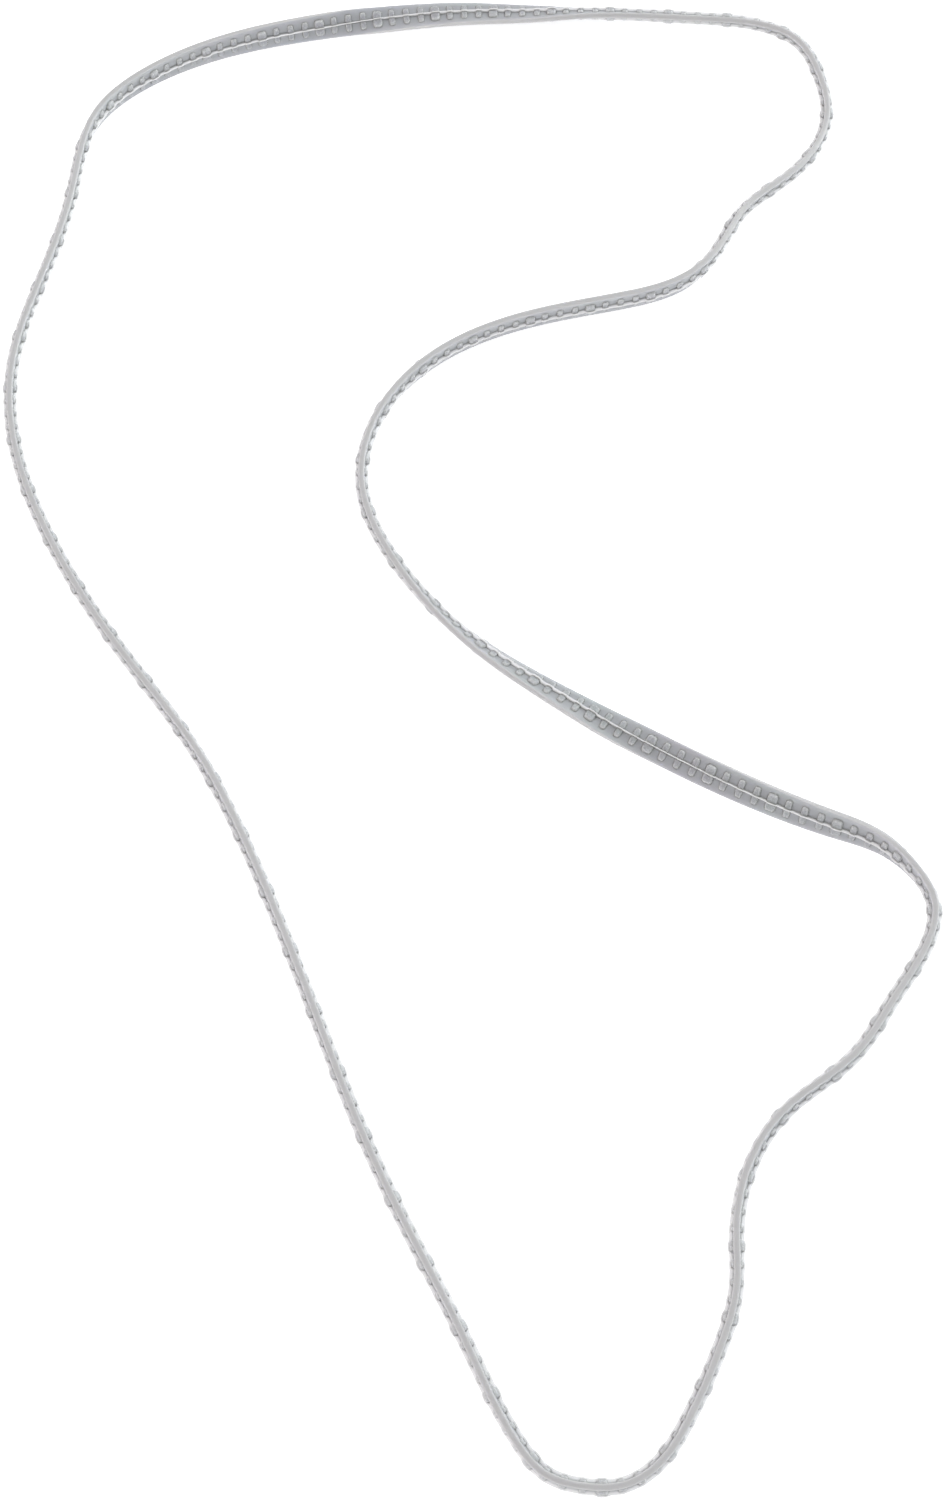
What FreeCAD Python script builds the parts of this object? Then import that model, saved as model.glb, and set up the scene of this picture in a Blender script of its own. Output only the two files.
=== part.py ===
"""Endless double-sided timing belt, lying as a free loop on its edge, in millimetres.

The belt is one flat web with tension cord wound inside it and teeth on both faces. Every
fourth tooth is a longer and taller index lug. The loop follows a wavy closed route on the
surface z = 0 and twists over by half a turn in two places, once each way.
"""
import FreeCAD, Part
import math
import os

# Driving dimensions, in millimetres or plain counts.
SIZES = [
    ("tooth_pitch", 2.5, "distance from tooth to tooth along the web's middle"),
    ("tooth_count", 292, "teeth on each face, index lugs included"),
    ("index_every", 4, "one tooth in this many is an index lug"),
    ("web_width", 4.4, "width of the flat web"),
    ("web_thickness", 0.95, "thickness of the flat web"),
    ("lug_width", 2.8, "how far a tooth reaches across the web"),
    ("tooth_length", 1.0, "tooth root along the belt"),
    ("tooth_height", 0.4, "tooth height above the web"),
    ("index_length", 1.6, "index lug root along the belt"),
    ("index_height", 0.6, "index lug height above the web"),
    ("flank_run", 0.12, "how far each flank leans in from root to tip"),
    ("end_run", 0.25, "how far each end of a tooth leans in from root to tip"),
    ("root_depth", 0.03, "how deep a tooth's root is let into the curved web"),
    ("cord_diameter", 0.3, "tension cord, from corner to corner"),
    ("cord_sides", 6, "flat sides that stand for the cord's round outline"),
    ("cord_spacing", 0.8, "distance across the web from one turn of cord to the next"),
    ("cord_turns", 4, "turns of the one wound cord"),
    ("span_count", 24, "lengths that the web is divided into"),
    ("span_sections", 16, "steps along each length"),
]

# Places that the middle of the web passes over, clockwise from above, starting at an index
# lug. The route through them is scaled to the belt's length.
ROUTE = [
    (10.0, 126.8), (28.5, 125.7), (45.5, 124.0), (55.5, 122.0), (61.5, 118.0),
    (64.5, 110.5), (65.0, 101.0), (58.5, 89.5), (49.5, 81.5), (44.5, 73.0),
    (39.6, 67.9), (28.5, 64.0), (13.0, 60.5), (-0.5, 54.0), (-10.1, 42.5),
    (-12.6, 29.0), (-7.6, 15.4), (2.4, 2.4), (21.1, -11.8), (40.1, -23.8),
    (55.5, -31.5), (62.5, -35.0), (66.5, -39.5), (68.5, -45.0), (66.3, -51.9),
    (61.2, -59.3), (55.8, -66.8), (51.8, -70.3), (45.8, -74.8), (39.7, -83.4),
    (37.3, -93.0), (36.8, -100.0), (33.8, -108.9), (28.9, -118.4), (25.0, -123.5),
    (20.5, -126.0), (15.5, -126.0), (11.0, -124.5), (7.5, -120.5), (1.1, -107.5),
    (-9.5, -85.0), (-20.0, -57.5), (-28.9, -34.0), (-37.6, -16.1), (-48.6, 0.4),
    (-61.0, 22.0), (-67.8, 43.5), (-68.0, 55.5), (-64.6, 70.5), (-60.5, 88.0),
    (-59.5, 96.0), (-57.0, 105.0), (-50.5, 112.5), (-36.5, 120.0), (-15.0, 124.8),
]

# How far the web leans out of upright, towards the outside of the loop, in degrees, at
# places counted in index lugs from the start of the route. 180 is upright and turned over.
LEAN = [
    (0.6, 105), (2, 129), (4, 137), (5.5, 155), (7, 178), (8.5, 199), (10, 199), (11.5, 188),
    (16.5, 188), (18.5, 179), (20.5, 157), (22, 133), (23.5, 109), (25, 70),
    (26.5, 45), (28, 24), (29.5, -5), (31.5, 8), (33, 6), (35.2, -6), (38, 6),
    (41, 16), (43.4, 4), (46, 6), (48.5, 0), (51.8, 0), (54.5, 12), (58, 2), (60, -6),
    (62, -12), (64.5, -11), (66.5, -4), (68.5, 9), (70.2, 30), (71, 64), (72.2, 84),
]

# These two round off how the web's middle rises and falls as the lean passes flat and upright.
FLAT_SOFTNESS = 0.06
UPRIGHT_SOFTNESS = 0.0005
UP = FreeCAD.Vector(0, 0, 1)


def make_sheet(doc):
    """The spreadsheet that holds the driving dimensions."""
    sheet = doc.addObject("Spreadsheet::Sheet", "Sizes")
    for row, (alias, value, meaning) in enumerate(SIZES, start=1):
        sheet.set("A%d" % row, str(value))
        sheet.setAlias("A%d" % row, alias)
        sheet.set("B%d" % row, meaning)
    doc.recompute()
    return sheet


def spline_through(points):
    """A smooth closed curve through the points, in the order given."""
    closed = points + points[:1]
    knots = [0.0]
    for start, end in zip(closed, closed[1:]):
        knots.append(knots[-1] + start.distanceToPoint(end))
    curve = Part.BSplineCurve()
    curve.interpolate(Points=points, PeriodicFlag=True, Parameters=knots)
    return curve


def rising_slopes(stations, period):
    """Slope at each station of a curve that never overshoots its stations."""
    count = len(stations)
    steps = []
    for i in range(count):
        here, value = stations[i]
        there, following = stations[(i + 1) % count]
        steps.append((following - value) / ((there - here) % period))
    slopes = []
    for i in range(count):
        before, after = steps[i - 1], steps[i]
        slopes.append(2 * before * after / (before + after) if before * after > 0 else 0.0)
    return slopes


class Belt:
    """Where the web's middle runs, and which way the web faces, at any distance along it."""

    def __init__(self, size):
        self.size = size
        self.length = size["tooth_pitch"] * size["tooth_count"]
        self.index_lugs = size["tooth_count"] / size["index_every"]
        self.slopes = rising_slopes(LEAN, self.index_lugs)
        points = [FreeCAD.Vector(x, y, 0) for x, y in ROUTE]
        scale = self.length / spline_through(points).length()
        self.route = spline_through([point * scale for point in points])
        self.shift = FreeCAD.Vector(0, 0, 0)
        stops = [stop for span in range(int(size["span_count"])) for stop in self.span_stops(span)]
        centre = Part.makeCompound([web_section(self, stop) for stop in stops]).BoundBox.Center
        self.shift = FreeCAD.Vector(-centre.x, -centre.y, 0)

    def lean(self, distance):
        """Lean in radians."""
        place = distance / self.length * self.index_lugs
        count = len(LEAN)
        i = sum(1 for station, _ in LEAN if station <= place) - 1
        start, low = LEAN[i]
        end, high = LEAN[(i + 1) % count]
        gap = (end - start) % self.index_lugs
        t = ((place - start) % self.index_lugs) / gap
        degrees = (
            low * (1 + 2 * t) * (1 - t) ** 2
            + high * t ** 2 * (3 - 2 * t)
            + self.slopes[i] * gap * t * (1 - t) ** 2
            - self.slopes[(i + 1) % count] * gap * t ** 2 * (1 - t)
        )
        return math.radians(degrees)

    def height(self, lean):
        """Height of the web's middle, so that its lowest corner or lug tip is on the surface."""
        half_width = self.size["web_width"] / 2
        half_lug = self.size["web_thickness"] / 2 + self.size["index_height"]
        upright = math.sqrt((math.cos(lean) ** 2 + FLAT_SOFTNESS) / (1 + FLAT_SOFTNESS))
        flat = math.sqrt(math.sin(lean) ** 2 + UPRIGHT_SOFTNESS) - math.sqrt(UPRIGHT_SOFTNESS)
        return half_width * upright + half_lug * flat

    def place(self, distance):
        """The web's middle and its directions: along, across (upwards when upright), outwards."""
        u = self.route.parameterAtDistance(distance % self.length, self.route.FirstParameter)
        tangent = self.route.tangent(u)[0]
        outside = FreeCAD.Vector(-tangent.y, tangent.x, 0)
        lean = self.lean(distance % self.length)
        across = UP * math.cos(lean) + outside * math.sin(lean)
        outwards = outside * math.cos(lean) - UP * math.sin(lean)
        middle = self.route.value(u) + self.shift + UP * self.height(lean)
        return middle, tangent, across, outwards

    def span_stops(self, span):
        """Distances of the sections along one length of the web."""
        steps = int(self.size["span_sections"])
        step = self.length / (self.size["span_count"] * steps)
        return [(span * steps + i) * step for i in range(steps + 1)]


def web_section(belt, distance):
    """The web's rectangular outline at a distance along the belt."""
    middle, _, across, outwards = belt.place(distance)
    side = across * (belt.size["web_width"] / 2)
    face = outwards * (belt.size["web_thickness"] / 2)
    corners = [middle - side - face, middle + side - face, middle + side + face, middle - side + face]
    return Part.makePolygon(corners + corners[:1])


def cord_section(belt, distance, turn):
    """The cord's outline, drawn with flat sides. Each turn drifts across the web by one spacing."""
    middle, _, across, outwards = belt.place(distance)
    drift = turn + distance / belt.length - belt.size["cord_turns"] / 2
    centre = middle + across * (drift * belt.size["cord_spacing"])
    radius = belt.size["cord_diameter"] / 2
    sides = int(belt.size["cord_sides"])
    corners = []
    for k in range(sides):
        angle = 2 * math.pi * k / sides
        corners.append(centre + across * (radius * math.cos(angle)) + outwards * (radius * math.sin(angle)))
    return Part.makePolygon(corners + corners[:1])


def true_plane(face):
    """The same face, as a true plane if it is flat."""
    plane = face.findPlane()
    return Part.Face(plane, face.OuterWire) if plane else face


def close_solid(faces):
    """One solid from faces that enclose it."""
    shell = Part.Shell(faces)
    shell.sewShape()
    solid = Part.Solid(shell)
    if solid.Volume < 0:
        solid.reverse()
    return solid


def web_span(belt, span):
    """One length of the web, with the channels that the cord lies in."""
    stops = belt.span_stops(span)
    rows = [[web_section(belt, stop) for stop in stops]]
    for turn in range(int(belt.size["cord_turns"])):
        rows.append([cord_section(belt, stop, turn) for stop in stops])
    faces = []
    for row in rows:
        faces += Part.makeLoft(row, False, False).Faces
    if not any(belt.lean(stop) for stop in stops):
        faces = [true_plane(face) for face in faces]
    for end in (0, -1):
        faces += Part.makeFace([row[end] for row in rows], "Part::FaceMakerBullseye").Faces
    return close_solid(faces)


def tension_cord(belt):
    """The whole wound cord, from its first cut end to its last."""
    faces = []
    first = cord_section(belt, 0, 0)
    last = cord_section(belt, belt.length, int(belt.size["cord_turns"]) - 1)
    for turn in range(int(belt.size["cord_turns"])):
        for span in range(int(belt.size["span_count"])):
            row = [cord_section(belt, stop, turn) for stop in belt.span_stops(span)]
            faces += Part.makeLoft(row, False, False).Faces
    faces += [Part.Face(first), Part.Face(last)]
    return close_solid(faces)


def make_tooth_form(doc, name, length_alias, height_alias):
    """A tooth lying with its root on z = 0, its length along X and its width along Y."""
    form = doc.addObject("Part::Wedge", name)
    half_length = "Sizes.%s / 2" % length_alias
    bounds = {
        "Xmin": "-(%s)" % half_length,
        "Xmax": half_length,
        "X2min": "-(%s) + Sizes.flank_run" % half_length,
        "X2max": "%s - Sizes.flank_run" % half_length,
        "Ymin": "0",
        "Ymax": "Sizes.%s + Sizes.root_depth" % height_alias,
        "Zmin": "-Sizes.lug_width / 2",
        "Zmax": "Sizes.lug_width / 2",
        "Z2min": "-Sizes.lug_width / 2 + Sizes.end_run",
        "Z2max": "Sizes.lug_width / 2 - Sizes.end_run",
    }
    for bound, formula in bounds.items():
        form.setExpression(bound, formula)
    return form


def tooth_row(belt, form, face, wants_index):
    """Copies of a tooth form along one face: 1 is the outer face and -1 the inner one."""
    teeth = []
    for number in range(int(belt.size["tooth_count"])):
        if (number % int(belt.size["index_every"]) == 0) != wants_index:
            continue
        middle, along, across, outwards = belt.place(number * belt.size["tooth_pitch"])
        normal = outwards * face
        root = middle + normal * (belt.size["web_thickness"] / 2 - belt.size["root_depth"])
        turned = FreeCAD.Rotation(along, normal, along.cross(normal), "YXZ")
        tooth = form.Shape.copy()
        tooth.Placement = FreeCAD.Placement(root, turned)
        teeth.append(tooth)
    return Part.makeCompound(teeth)


def add_piece(doc, label, shape):
    """A named piece of the belt."""
    piece = doc.addObject("Part::Feature", label)
    piece.Label = label
    piece.Shape = shape
    return piece


def check(doc, pieces):
    """Stops the build if any object failed or any piece has no sound shape."""
    for item in doc.Objects:
        if "Invalid" in item.State or "Error" in item.State:
            raise RuntimeError("%s failed: %s" % (item.Label, item.State))
    for piece in pieces:
        if piece.Shape.isNull() or not piece.Shape.isValid():
            raise RuntimeError("%s has no valid shape" % piece.Label)


def build():
    doc = FreeCAD.newDocument("timing_belt")
    sheet = make_sheet(doc)
    size = {alias: float(sheet.get(alias)) for alias, _, _ in SIZES}
    tooth_form = make_tooth_form(doc, "tooth_form", "tooth_length", "tooth_height")
    index_form = make_tooth_form(doc, "index_form", "index_length", "index_height")
    doc.recompute()
    belt = Belt(size)

    pieces = []
    for span in range(int(size["span_count"])):
        pieces.append(add_piece(doc, "web_span_%02d" % (span + 1), web_span(belt, span)))
    pieces.append(add_piece(doc, "tension_cord", tension_cord(belt)))
    for side, face in (("outer", 1), ("inner", -1)):
        pieces.append(add_piece(doc, side + "_teeth", tooth_row(belt, tooth_form, face, False)))
        pieces.append(add_piece(doc, side + "_index_lugs", tooth_row(belt, index_form, face, True)))
    doc.recompute()
    check(doc, pieces)

    os.makedirs("parts", exist_ok=True)
    for piece in pieces:
        piece.Shape.exportStep("parts/%s.step" % piece.Label)
    print("belt length %.2f mm, route drawn at %.2f mm" % (belt.length, belt.route.length()))


build()
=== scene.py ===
# The looks of an endless double-sided timing belt that lies loose on a pale surface, in metres.
# One moulding of translucent grey polyurethane has a flat web, small teeth and larger index lugs
# on both faces, and a thin fin of flash along the middle of each face. A twisted tension cord
# is wound through the web. The belt's lie is read from the teeth of the CAD frame, and every
# piece is swept along it or placed on it.
import math

import bmesh
import bpy
import numpy as np
from mathutils import Matrix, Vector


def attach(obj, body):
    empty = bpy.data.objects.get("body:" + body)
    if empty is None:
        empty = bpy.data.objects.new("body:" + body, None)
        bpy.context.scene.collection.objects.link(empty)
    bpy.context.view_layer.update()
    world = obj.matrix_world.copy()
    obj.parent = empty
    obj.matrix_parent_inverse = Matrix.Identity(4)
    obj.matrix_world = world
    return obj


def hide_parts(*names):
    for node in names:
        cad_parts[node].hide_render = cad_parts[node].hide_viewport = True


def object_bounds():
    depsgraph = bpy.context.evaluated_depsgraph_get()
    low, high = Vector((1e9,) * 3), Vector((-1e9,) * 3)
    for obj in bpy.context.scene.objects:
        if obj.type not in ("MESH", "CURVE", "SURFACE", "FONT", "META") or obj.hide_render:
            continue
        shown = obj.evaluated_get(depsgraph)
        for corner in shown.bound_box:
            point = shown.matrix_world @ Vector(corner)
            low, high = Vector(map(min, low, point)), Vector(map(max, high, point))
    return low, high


MM = 0.001

# The belt's sizes, the same as in the CAD model.
PITCH = 2.5 * MM
INDEX_EVERY = 4  # one tooth in so many is an index lug
WEB_SPANS = 24
WEB_WIDTH = 4.4 * MM
WEB_THICKNESS = 0.95 * MM
CORD_DIAMETER = 0.3 * MM
CORD_SPACING = 0.8 * MM
CORD_TURNS = 4

WEB_CORNER = 0.14 * MM  # the radius of the web's four corners

# A tooth's outline at its root, its height, and how far in from its skirt it takes to rise.
TEETH = {"length": 1.0 * MM, "width": 2.8 * MM, "height": 0.30 * MM, "rise": 0.26 * MM}
INDEX_LUGS = {"length": 1.6 * MM, "width": 2.8 * MM, "height": 0.47 * MM, "rise": 0.34 * MM}
SKIRT = 0.1 * MM  # the soft foot that spreads round a tooth's root
ROOT_DEPTH = 0.03 * MM  # how deep teeth and fins are let into the web
LUG_CROWN = 0.02 * MM  # how much a tooth's top bulges
SQUARENESS = 4.5  # a tooth's outline is an ellipse at 2 and a rectangle when it is very large
SIDE_SLOPE = 1.1  # how much gentler a tooth's two ends across the belt are than its flanks

# The thin fin of flash that the two halves of the mould leave along the middle of each face:
# the width of its foot and its crest, how high the crest stands above the web between teeth and
# above a tooth's top, the most it stands above the web, and how many teeth its waves blend over.
FIN_FOOT = 0.40 * MM
FIN_CREST = 0.12 * MM
FIN_HEIGHT = 0.57 * MM
FIN_OVER_TOOTH = 0.32 * MM
FIN_LIMIT = 0.78 * MM
FIN_BLEND = 0.12
FIN_FILLET = 0.012 * MM  # the soft step at the fin's foot

# Where the painted shade and painted light on the moulding begin and end.
GAP_SHADE_FADE = 2.4  # how fast the painted shade between teeth gives way as a tooth rises
GAP_SHADE_SIDE = 0.3 * MM  # the width of the painted shade's soft side, just outside the teeth
LIT_EDGE_ZONE = 0.2 * MM  # the rounded edge of the web, painted paler with painted light
TOOTH_HIGHLIGHT_FROM = 0.65 * MM  # how far from the belt's middle line a tooth's painted highlight starts
TOOTH_HIGHLIGHT_BLEND = 0.5 * MM

# Colours of the cloudy grey moulding, among them painted shade and painted light, and how rough
# each part of it is.
WEB_GREY = (0.435, 0.448, 0.463)
# Painted shade: the web is painted darker between the teeth.
GAP_SHADE_GREY = (0.395, 0.407, 0.428)
# Painted light: the rounded edges are painted paler, where light shines through them.
EDGE_LIT_GREY = (0.485, 0.483, 0.483)
TOOTH_GREY = (0.385, 0.396, 0.41)
# Painted highlight: the teeth's rounded ends are painted paler.
TOOTH_END_HIGHLIGHT_GREY = (0.43, 0.44, 0.45)
# Painted light: the teeth's steep flanks are painted paler to lift the shade on them.
FLANK_LIT_GREY = (0.54, 0.55, 0.56)
# Painted shade: the fin's foot is painted darker.
FIN_FOOT_SHADE_GREY = (0.41, 0.415, 0.42)
# Painted light: the fin's thin side is painted pale, where light shines through it.
FIN_LIT_GREY = (0.73, 0.73, 0.73)
CREST_GREY = (0.53, 0.53, 0.54)
WEB_ROUGHNESS = 0.34
TOOTH_ROUGHNESS = 0.26
FIN_ROUGHNESS = 0.2

# Places round the belt are counted in teeth. These are the rows of points to each tooth.
WEB_STEPS = 10
FIN_STEPS = 20
CORD_STEPS = 6

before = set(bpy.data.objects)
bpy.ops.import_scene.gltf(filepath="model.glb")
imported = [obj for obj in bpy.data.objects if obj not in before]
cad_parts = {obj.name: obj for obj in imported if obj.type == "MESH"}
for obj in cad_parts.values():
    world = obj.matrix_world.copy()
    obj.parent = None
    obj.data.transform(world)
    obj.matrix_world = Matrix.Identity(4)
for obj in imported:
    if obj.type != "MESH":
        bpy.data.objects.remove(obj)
cad_low, cad_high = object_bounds()


# ---------------------------------------------------------------- the belt's lie


def tooth_centres(node):
    """The centre of each separate tooth in a CAD node."""
    teeth = bmesh.new()
    teeth.from_mesh(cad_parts[node].data)
    bmesh.ops.remove_doubles(teeth, verts=teeth.verts, dist=0.001 * MM)
    centres = []
    for first in teeth.verts:
        if first.tag:
            continue
        first.tag = True
        tooth = [first]
        for corner in tooth:
            for edge in corner.link_edges:
                other = edge.other_vert(corner)
                if not other.tag:
                    other.tag = True
                    tooth.append(other)
        centres.append(np.mean([corner.co for corner in tooth], axis=0))
    teeth.free()
    return np.array(centres)


def nearest(points, place):
    """Which of the points is nearest to a place."""
    return int(np.argmin(np.sum((points - place) ** 2, axis=1)))


def teeth_in_order():
    """The web's middle, and the line from the inner to the outer face, at each tooth.

    The teeth run clockwise from above. The first is an index lug, and so is every fourth one
    after it.
    """
    outer_lugs = tooth_centres("outer_index_lugs")
    outer = np.vstack([outer_lugs, tooth_centres("outer_teeth")])
    inner = np.vstack([tooth_centres("inner_index_lugs"), tooth_centres("inner_teeth")])
    order = [int(np.argmax(outer_lugs[:, 1]))]
    waits = np.ones(len(outer), bool)
    waits[order[0]] = False
    # The belt's far side runs along +X, so the tooth after the first is the one further along it.
    beside = np.argsort(np.sum((outer - outer[order[0]]) ** 2, axis=1))[1:3]
    order.append(int(beside[np.argmax(outer[beside, 0])]))
    waits[order[1]] = False
    while waits.any():
        waiting = np.flatnonzero(waits)
        order.append(int(waiting[nearest(outer[waiting], outer[order[-1]])]))
        waits[order[-1]] = False
    outer = outer[order]
    inner = np.array([inner[nearest(inner, centre)] for centre in outer])
    return (outer + inner) / 2, outer - inner


def spline_controls(values):
    """Control points of the closed, even cubic spline that passes through a row of values."""
    waves = np.arange(len(values)) * (2 * math.pi / len(values))
    weights = (4 + 2 * np.cos(waves)) / 6
    return np.fft.ifft(np.fft.fft(values, axis=0) / weights[:, None], axis=0).real


def spline_values(controls, places):
    """The closed spline's values at places, counted in its steps."""
    step = np.floor(places).astype(int)
    t = (places - step)[:, None]
    shares = ((1 - t) ** 3, 3 * t**3 - 6 * t**2 + 4, 1 + 3 * t + 3 * t**2 - 3 * t**3, t**3)
    parts = [share * controls[(step + k - 1) % len(controls)] for k, share in enumerate(shares)]
    return sum(parts) / 6


def unit(vectors):
    """The same directions, each of length 1."""
    return vectors / np.linalg.norm(vectors, axis=1)[:, None]


MIDDLES, OUTWARDS = teeth_in_order()
TOOTH_COUNT = len(MIDDLES)
MIDDLE_CONTROLS = spline_controls(MIDDLES)
OUTWARD_CONTROLS = spline_controls(unit(OUTWARDS))


def directions(places):
    """The web's middle, and its directions along, across and outwards, at places round it."""
    nudge = 0.01
    middle = spline_values(MIDDLE_CONTROLS, places)
    ahead = spline_values(MIDDLE_CONTROLS, places + nudge)
    behind = spline_values(MIDDLE_CONTROLS, places - nudge)
    along = unit(ahead - behind)
    outwards = spline_values(OUTWARD_CONTROLS, places)
    outwards = unit(outwards - along * np.sum(along * outwards, axis=1)[:, None])
    return middle, along, np.cross(along, outwards), outwards


def on_belt(places, across_by, out_by):
    """Points at distances across the web and outwards from its middle."""
    middle, _, across, outwards = directions(places)
    return middle + across * across_by[:, None] + outwards * out_by[:, None]


# ---------------------------------------------------------------- mesh helpers


def new_piece(name, points, faces, material):
    """A smooth shaded mesh that rides with the belt."""
    mesh = bpy.data.meshes.new(name)
    mesh.from_pydata(np.asarray(points).tolist(), [], faces)
    mesh.validate()
    mesh.polygons.foreach_set("use_smooth", [True] * len(mesh.polygons))
    mesh.materials.append(material)
    piece = bpy.data.objects.new(name, mesh)
    bpy.context.scene.collection.objects.link(piece)
    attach(piece, "root")
    return piece


def give_zones(piece, zones):
    """Keeps up to three shares from 0 to 1 at each point, which the material's colours follow."""
    colours = np.ones((len(zones), 4), np.float32)
    colours[:, :3] = zones
    layer = piece.data.attributes.new("zones", "FLOAT_COLOR", "POINT")
    layer.data.foreach_set("color", colours.ravel())


def ring_faces(rows, around, endless):
    """Quads between rows of points, each a closed ring. Endless rows join up again."""
    faces = []
    for row in range(rows if endless else rows - 1):
        here = row * around
        there = (row + 1) % rows * around
        for k in range(around):
            after = (k + 1) % around
            faces.append((here + k, there + k, there + after, here + after))
    return faces


def swept_loop(name, places, outline, material):
    """A closed band: an outline of (across, out) points swept once round the belt.

    The outline is one for all places or one for each. The band stays within the CAD's box, so
    it is pressed level with the surface where it lies on it.
    """
    around = outline.shape[-2]
    if outline.ndim == 2:
        outline = np.broadcast_to(outline, (len(places), around, 2))
    every = np.repeat(places, around)
    points = on_belt(every, outline[:, :, 0].ravel(), outline[:, :, 1].ravel())
    points = np.clip(points, cad_low, cad_high)
    faces = ring_faces(len(places), around, True)
    return new_piece(name, points, faces, material)


def rise(share):
    """A smooth step from 0 to 1, level at both ends."""
    share = np.clip(share, 0, 1)
    return share**3 * (share * (share * 6 - 15) + 10)


# ---------------------------------------------------------------- materials


def polyurethane(name, colour, zone_colours, roughness):
    """Cast polyurethane: cloudy, slightly tinted, with a fine moulded surface.

    Each zone colour takes over where that share of the piece's zones rises to 1.
    """
    material = bpy.data.materials.new(name)
    material.use_nodes = True
    nodes, links = material.node_tree.nodes, material.node_tree.links
    shader = nodes["Principled BSDF"]
    shader.inputs["IOR"].default_value = 1.5
    shader.inputs["Transmission Weight"].default_value = 0.1
    shader.inputs["Subsurface Weight"].default_value = 0.85
    shader.inputs["Subsurface Radius"].default_value = (1.0, 1.0, 1.1)
    shader.inputs["Subsurface Scale"].default_value = 1.0 * MM
    shader.inputs["Specular IOR Level"].default_value = 0.5

    where = nodes.new("ShaderNodeTexCoord")
    clouds = nodes.new("ShaderNodeTexNoise")
    clouds.inputs["Scale"].default_value = 60
    clouds.inputs["Detail"].default_value = 4
    links.new(where.outputs["Object"], clouds.inputs["Vector"])
    tint = nodes.new("ShaderNodeValToRGB")
    cool = (colour[0] * 0.90, colour[1] * 0.91, colour[2] * 0.95, 1)
    violet = (colour[0] * 1.01, colour[1] * 0.985, colour[2] * 1.01, 1)
    green = (colour[0] * 1.03, colour[1] * 1.07, colour[2] * 1.04, 1)
    tint.color_ramp.elements[0].position = 0.3
    tint.color_ramp.elements[0].color = cool
    tint.color_ramp.elements[1].position = 0.7
    tint.color_ramp.elements[1].color = green
    tint.color_ramp.elements.new(0.5).color = violet
    links.new(clouds.outputs["Fac"], tint.inputs["Fac"])
    painted = tint.outputs["Color"]
    zones = nodes.new("ShaderNodeVertexColor")
    zones.layer_name = "zones"
    shares = nodes.new("ShaderNodeSeparateColor")
    links.new(zones.outputs["Color"], shares.inputs["Color"])
    for share, zone_colour in zip(shares.outputs, zone_colours):
        mix = nodes.new("ShaderNodeMix")
        mix.data_type = "RGBA"
        links.new(share, mix.inputs["Factor"])
        links.new(painted, mix.inputs["A"])
        mix.inputs["B"].default_value = (*zone_colour, 1)
        painted = mix.outputs["Result"]
    links.new(painted, shader.inputs["Base Color"])

    grain = nodes.new("ShaderNodeTexNoise")
    grain.inputs["Scale"].default_value = 2500
    grain.inputs["Detail"].default_value = 3
    links.new(where.outputs["Object"], grain.inputs["Vector"])
    gloss = nodes.new("ShaderNodeMapRange")
    gloss.inputs["To Min"].default_value = roughness - 0.06
    gloss.inputs["To Max"].default_value = roughness + 0.08
    links.new(grain.outputs["Fac"], gloss.inputs["Value"])
    links.new(gloss.outputs["Result"], shader.inputs["Roughness"])
    bump = nodes.new("ShaderNodeBump")
    bump.inputs["Strength"].default_value = 0.12
    bump.inputs["Distance"].default_value = 0.01 * MM
    links.new(grain.outputs["Fac"], bump.inputs["Height"])
    links.new(bump.outputs["Normal"], shader.inputs["Normal"])
    return material


def cord_fibre():
    """Pale twisted polyester yarn."""
    material = bpy.data.materials.new("cord_fibre")
    material.use_nodes = True
    nodes, links = material.node_tree.nodes, material.node_tree.links
    shader = nodes["Principled BSDF"]
    shader.inputs["Roughness"].default_value = 0.6
    shader.inputs["Sheen Weight"].default_value = 0.2
    where = nodes.new("ShaderNodeTexCoord")
    fibres = nodes.new("ShaderNodeTexNoise")
    fibres.inputs["Scale"].default_value = 6000
    fibres.inputs["Detail"].default_value = 2
    links.new(where.outputs["Object"], fibres.inputs["Vector"])
    shade = nodes.new("ShaderNodeValToRGB")
    shade.color_ramp.elements[0].color = (0.62, 0.60, 0.54, 1)
    shade.color_ramp.elements[1].color = (0.88, 0.87, 0.83, 1)
    links.new(fibres.outputs["Fac"], shade.inputs["Fac"])
    links.new(shade.outputs["Color"], shader.inputs["Base Color"])
    bump = nodes.new("ShaderNodeBump")
    bump.inputs["Strength"].default_value = 0.3
    bump.inputs["Distance"].default_value = 0.01 * MM
    links.new(fibres.outputs["Fac"], bump.inputs["Height"])
    links.new(bump.outputs["Normal"], shader.inputs["Normal"])
    return material


# ---------------------------------------------------------------- the web


def web_outline():
    """The web's section: flat faces with fine divisions, and rounded corners."""
    half_width = WEB_WIDTH / 2 - WEB_CORNER
    half_thickness = WEB_THICKNESS / 2 - WEB_CORNER
    corner_steps = 2
    face_steps = 10
    outline = []
    quarters = ((1, 1), (-1, 1), (-1, -1), (1, -1))
    for quarter, (side, face) in enumerate(quarters):
        for k in range(corner_steps + 1):
            angle = (quarter + k / corner_steps) * math.pi / 2
            outline.append((
                side * half_width + WEB_CORNER * math.cos(angle),
                face * half_thickness + WEB_CORNER * math.sin(angle),
            ))
        following = quarters[(quarter + 1) % 4]
        if following[0] != side:
            start = outline[-1]
            for k in range(1, face_steps):
                outline.append((start[0] * (1 - 2 * k / face_steps), start[1]))
    return np.array(outline)


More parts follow.
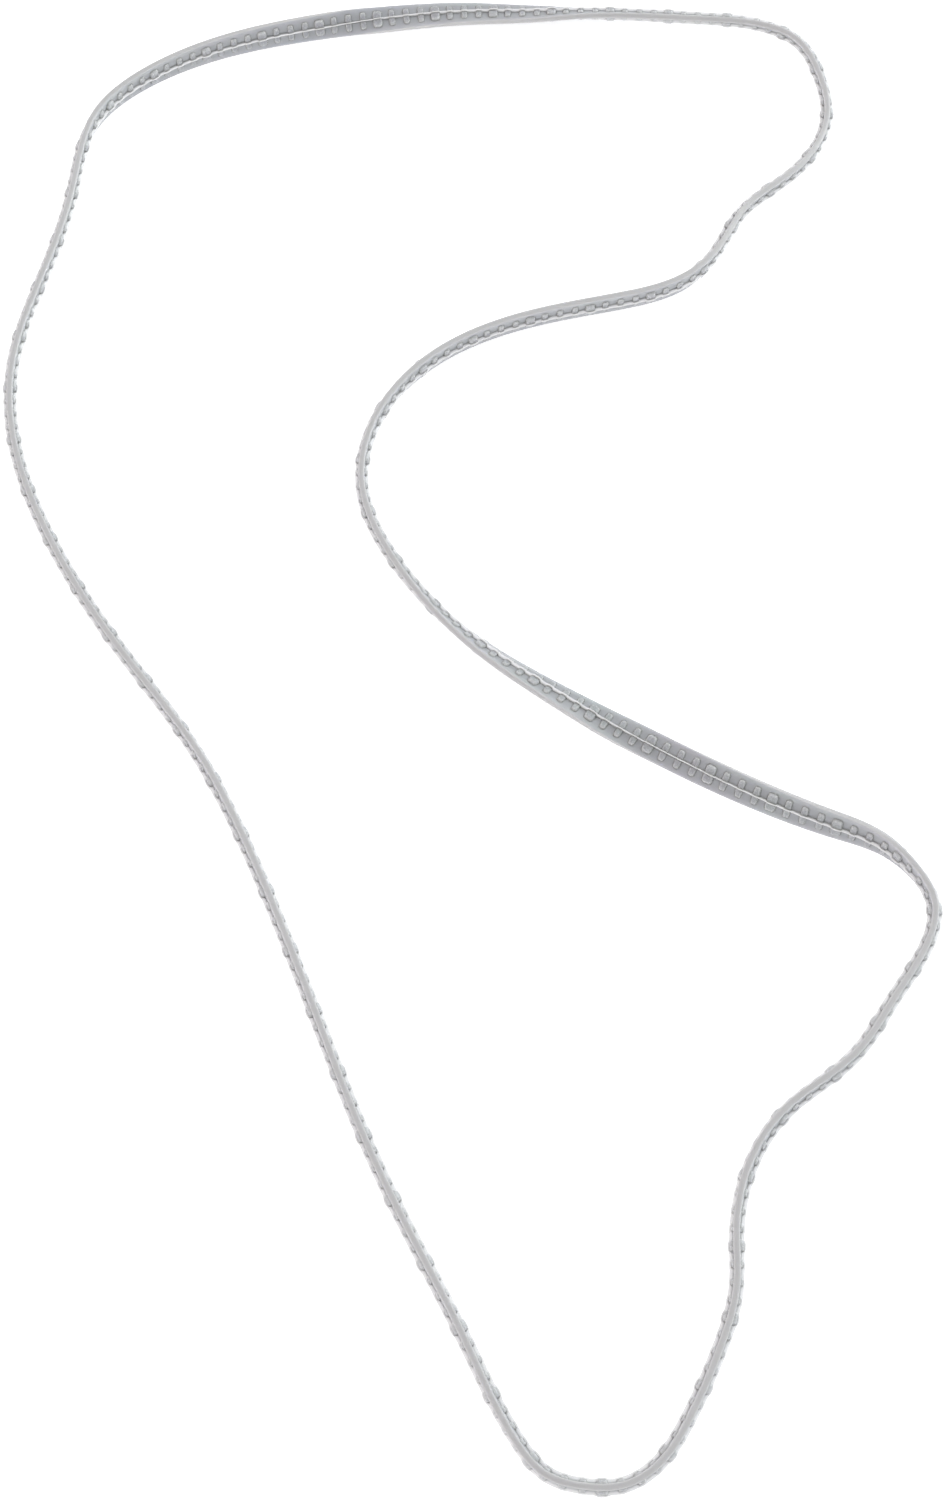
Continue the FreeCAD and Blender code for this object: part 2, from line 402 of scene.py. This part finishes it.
def make_web(material):
    """The endless web, with painted shade between the teeth and painted light along its two edges.
    """
    places = np.arange(TOOTH_COUNT * WEB_STEPS) / WEB_STEPS
    outline = web_outline()
    web = swept_loop("moulded_web", places, outline, material)
    shade_between_teeth = 1 - rise(GAP_SHADE_FADE * tooth_heights(places) / TEETH["height"])
    from_middle = np.abs(outline[:, 0])
    shade_beside_teeth = rise((TEETH["width"] / 2 + GAP_SHADE_SIDE - from_middle) / GAP_SHADE_SIDE)
    lit_edge = rise((from_middle - WEB_WIDTH / 2 + LIT_EDGE_ZONE) / LIT_EDGE_ZONE)
    zones = np.zeros((len(places), len(outline), 3))
    # Painted shade between the teeth.
    zones[:, :, 0] = shade_between_teeth[:, None] * shade_beside_teeth
    # Painted light along the web's rounded edges.
    zones[:, :, 1] = lit_edge
    give_zones(web, zones.reshape(-1, 3))
    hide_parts(*["web_span_%02d" % (span + 1) for span in range(WEB_SPANS)])


# ---------------------------------------------------------------- teeth and index lugs


def lug_rings(form):
    """Rings of a moulded tooth as (along, across, up), from its let-in root to its crown."""
    around = 32
    rows = 10
    angles = (np.arange(around) + 0.5) * (2 * math.pi / around)
    power = 2 / SQUARENESS
    along = np.sign(np.cos(angles)) * np.abs(np.cos(angles)) ** power
    across = np.sign(np.sin(angles)) * np.abs(np.sin(angles)) ** power
    half_length = form["length"] / 2 + SKIRT
    half_width = form["width"] / 2 + SKIRT
    rings = [(half_length, half_width, -ROOT_DEPTH)]
    for share in np.linspace(0, 1, rows):
        inset = share * form["rise"]
        up = form["height"] * rise(share)
        rings.append((half_length - inset, half_width - inset * SIDE_SLOPE, up))
    tip_length, tip_width, _ = rings[-1]
    for share in (0.66, 0.33):
        crown = LUG_CROWN * (1 - share**2)
        rings.append((tip_length * share, tip_width * share, form["height"] + crown))
    points = [np.stack([along * a, across * b, np.full(around, up)], axis=1) for a, b, up in rings]
    points.append(np.array([[0, 0, form["height"] + LUG_CROWN]]))
    return np.vstack(points), len(rings), around


def make_lugs(name, node, numbers, face, form, material):
    """Every tooth of one size on one face: 1 is the outer face and -1 the inner one."""
    lug, rows, around = lug_rings(form)
    faces = ring_faces(rows, around, False)
    crown = (rows - 1) * around
    tip = rows * around
    faces += [(crown + (k + 1) % around, crown + k, tip) for k in range(around)]
    faces.append(tuple(range(around)))
    if face < 0:
        faces = [tuple(reversed(corners)) for corners in faces]
    every_point = []
    every_face = []
    for number in numbers:
        places = number + lug[:, 0] / PITCH
        out_by = face * (WEB_THICKNESS / 2 + lug[:, 2])
        first = len(every_point) * len(lug)
        every_point.append(on_belt(places, lug[:, 1], out_by))
        every_face += [tuple(first + corner for corner in corners) for corners in faces]
    piece = new_piece(name, np.vstack(every_point), every_face, material)
    zones = np.zeros((len(lug), 3))
    # A painted highlight on the teeth's rounded ends.
    zones[:, 0] = rise((np.abs(lug[:, 1]) - TOOTH_HIGHLIGHT_FROM) / TOOTH_HIGHLIGHT_BLEND)
    # Painted light on the flanks, against the shade on their steep sides: its share is 0 at the
    # root and at the top, and 1 half-way up.
    height = np.clip(lug[:, 2] / form["height"], 0, 1)
    zones[:, 1] = rise(4 * height * (1 - height))
    give_zones(piece, np.tile(zones, (len(numbers), 1)))
    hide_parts(node)


# ---------------------------------------------------------------- fins of flash


def height_of_every_fourth(places, form, first):
    """Height above the web's face of a tooth and each fourth one after it, on the middle line."""
    nearest_tooth = np.round((places - first) / INDEX_EVERY) * INDEX_EVERY + first
    off = np.abs(places - nearest_tooth) * PITCH
    edge = form["length"] / 2 + SKIRT - off
    return (form["height"] + LUG_CROWN) * rise(edge / form["rise"])


def tooth_heights(places):
    """Height of the teeth above the web's face on the middle line, and 0 between them."""
    heights = height_of_every_fourth(places, INDEX_LUGS, 0)
    for first in range(1, INDEX_EVERY):
        heights = np.maximum(heights, height_of_every_fourth(places, TEETH, first))
    return heights


def fin_heights(places):
    """Height of the fin's crest above the web: it follows the teeth, but less steeply."""
    crest = np.zeros(len(places))
    steps = 5
    for k in range(-steps, steps + 1):
        teeth = tooth_heights(places + k * FIN_BLEND / steps)
        crest += np.clip(teeth + FIN_OVER_TOOTH, FIN_HEIGHT, FIN_LIMIT) / (2 * steps + 1)
    return crest


def make_fin(name, face, material):
    """The fin of flash that runs along the web and over each tooth on one face."""
    places = np.arange(TOOTH_COUNT * FIN_STEPS) / FIN_STEPS
    surface = tooth_heights(places)[:, None]
    crest = fin_heights(places)[:, None]
    # Up one side of the fin's section: half its width, its share of the way from the surface
    # under it to its crest, and what it stands above or below that.
    half = np.array([FIN_FOOT, FIN_FOOT, FIN_CREST * 1.5, FIN_CREST, FIN_CREST * 0.7, 0]) / 2
    share = np.array([0, 0, 0.15, 0.75, 0.95, 1])
    lift = np.array([-ROOT_DEPTH, FIN_FILLET, 0, 0, 0, 0])
    half = np.concatenate([half, -half[-2::-1]])
    share = np.concatenate([share, share[-2::-1]])
    lift = np.concatenate([lift, lift[-2::-1]])
    outline = np.empty((len(places), len(half), 2))
    outline[:, :, 0] = half * face
    outline[:, :, 1] = face * (WEB_THICKNESS / 2 + surface + (crest - surface) * share + lift)
    fin = swept_loop(name, places, outline, material)
    # The fin's foot is darker with painted shade, its thin side is palest with painted light
    # shining through it, and its crest is greyer again.
    zones = np.zeros((len(places), len(half), 3))
    zones[:, :, 0] = rise((share - 0.02) / 0.3)
    zones[:, :, 1] = rise((share - 0.85) / 0.15)
    give_zones(fin, zones.reshape(-1, 3))


# ---------------------------------------------------------------- tension cord


def make_cord(material):
    """One strand of three twisted yarns, wound through the web from edge to edge."""
    yarns = 3
    groove = 0.14  # the depth of the grooves between the yarns, as a share of the radius
    twist_per_tooth = 0.75
    around = 12
    count = TOOTH_COUNT * CORD_STEPS * CORD_TURNS
    turns = np.linspace(0, CORD_TURNS, count + 1)
    places = turns * TOOTH_COUNT
    drift = (turns - CORD_TURNS / 2) * CORD_SPACING
    angles = np.arange(around) * (2 * math.pi / around)
    lobes = CORD_DIAMETER / 2 * (1 - groove + groove * np.cos(yarns * angles))
    spin = places * (twist_per_tooth * 2 * math.pi)
    swing = spin[:, None] + angles[None, :]
    across = (drift[:, None] + lobes * np.cos(swing)).ravel()
    out = (lobes * np.sin(swing)).ravel()
    points = on_belt(np.repeat(places, around) % TOOTH_COUNT, across, out)
    rows = count + 1
    faces = ring_faces(rows, around, False)
    faces.append(tuple(range(around)))
    faces.append(tuple(reversed(range((rows - 1) * around, rows * around))))
    cord = new_piece("twisted_cord", points, faces, material)
    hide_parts("tension_cord")


# ---------------------------------------------------------------- floor, light and camera


def make_floor():
    """The plain pale surface under the belt, so large that it reaches the horizon."""
    mesh = bpy.data.meshes.new("floor")
    half = 10.0
    low = cad_low.z
    mesh.from_pydata(
        [(-half, -half, low), (half, -half, low), (half, half, low), (-half, half, low)],
        [],
        [(0, 1, 2, 3)],
    )
    floor = bpy.data.objects.new("floor", mesh)
    bpy.context.scene.collection.objects.link(floor)
    material = bpy.data.materials.new("floor_white")
    material.use_nodes = True
    nodes, links = material.node_tree.nodes, material.node_tree.links
    shader = nodes["Principled BSDF"]
    shader.inputs["Roughness"].default_value = 0.9
    shader.inputs["Specular IOR Level"].default_value = 0.1
    paper = nodes.new("ShaderNodeTexNoise")
    paper.inputs["Scale"].default_value = 40
    shade = nodes.new("ShaderNodeValToRGB")
    shade.color_ramp.elements[0].color = (0.93, 0.93, 0.93, 1)
    shade.color_ramp.elements[1].color = (0.95, 0.95, 0.95, 1)
    links.new(paper.outputs["Fac"], shade.inputs["Fac"])
    links.new(shade.outputs["Color"], shader.inputs["Base Color"])
    shader.inputs["Emission Color"].default_value = (1, 1, 1, 1)
    shader.inputs["Emission Strength"].default_value = 0.5
    mesh.materials.append(material)


def make_area_light(name, place, size, power, colour):
    """A soft square light that faces the middle of the belt."""
    data = bpy.data.lights.new(name, "AREA")
    data.size = size
    data.energy = power
    data.color = colour
    light = bpy.data.objects.new(name, data)
    bpy.context.scene.collection.objects.link(light)
    light.location = place
    light.rotation_mode = "QUATERNION"
    light.rotation_quaternion = (-light.location).to_track_quat("-Z", "Y")


def make_lights():
    """Even light from all round, a little warmer from the left, and two soft lights."""
    world = bpy.data.worlds.new("studio")
    bpy.context.scene.world = world
    world.use_nodes = True
    nodes, links = world.node_tree.nodes, world.node_tree.links
    background = nodes["Background"]
    background.inputs["Strength"].default_value = 0.9
    where = nodes.new("ShaderNodeTexCoord")
    axes = nodes.new("ShaderNodeSeparateXYZ")
    links.new(where.outputs["Generated"], axes.inputs["Vector"])
    side = nodes.new("ShaderNodeMapRange")
    side.inputs["From Min"].default_value = -1
    links.new(axes.outputs["X"], side.inputs["Value"])
    sky = nodes.new("ShaderNodeValToRGB")
    sky.color_ramp.elements[0].color = (1.0, 0.955, 0.955, 1)
    sky.color_ramp.elements[1].color = (0.955, 1.0, 1.0, 1)
    links.new(side.outputs["Result"], sky.inputs["Fac"])
    links.new(sky.outputs["Color"], background.inputs["Color"])
    make_area_light("key_light", (0.65, 0.5, 0.6), 0.6, 4.4, (0.96, 1.0, 1.0))
    make_area_light("fill_light", (-0.8, -0.2, 0.5), 0.8, 1.8, (1.0, 0.90, 0.90))
    bpy.context.scene.view_settings.view_transform = "Standard"


def make_camera():
    """The photograph's view: from the front, looking down at the belt."""
    data = bpy.data.cameras.new("camera")
    data.lens = 68.38
    data.sensor_width = 36
    data.clip_start = 0.01
    data.clip_end = 20
    camera = bpy.data.objects.new("camera", data)
    bpy.context.scene.collection.objects.link(camera)
    place = Matrix.Translation((3.48 * MM, -221.11 * MM, 368.384 * MM))
    tilt = Matrix.Rotation(math.radians(28.942), 4, "X")
    roll = Matrix.Rotation(math.radians(-1.363), 4, "Z")
    camera.matrix_world = place @ tilt @ roll
    bpy.context.scene.camera = camera


# ---------------------------------------------------------------- the whole belt


def numbers_of(is_index):
    """The numbers round the belt of its index lugs, or of its small teeth."""
    return [n for n in range(TOOTH_COUNT) if (n % INDEX_EVERY == 0) == is_index]


def make_belt():
    web = polyurethane("web_polyurethane", WEB_GREY, (GAP_SHADE_GREY, EDGE_LIT_GREY), WEB_ROUGHNESS)
    teeth = polyurethane("teeth_polyurethane", TOOTH_GREY, (TOOTH_END_HIGHLIGHT_GREY, FLANK_LIT_GREY),
                         TOOTH_ROUGHNESS)
    fin = polyurethane("fin_polyurethane", FIN_FOOT_SHADE_GREY, (FIN_LIT_GREY, CREST_GREY), FIN_ROUGHNESS)
    make_web(web)
    for side, face in (("outer", 1), ("inner", -1)):
        make_lugs(side + "_moulded_teeth", side + "_teeth", numbers_of(False), face, TEETH,
                  teeth)
        make_lugs(side + "_moulded_index_lugs", side + "_index_lugs", numbers_of(True), face,
                  INDEX_LUGS, teeth)
        make_fin(side + "_mould_fin", face, fin)
    make_cord(cord_fibre())


make_belt()
make_floor()
make_lights()
make_camera()
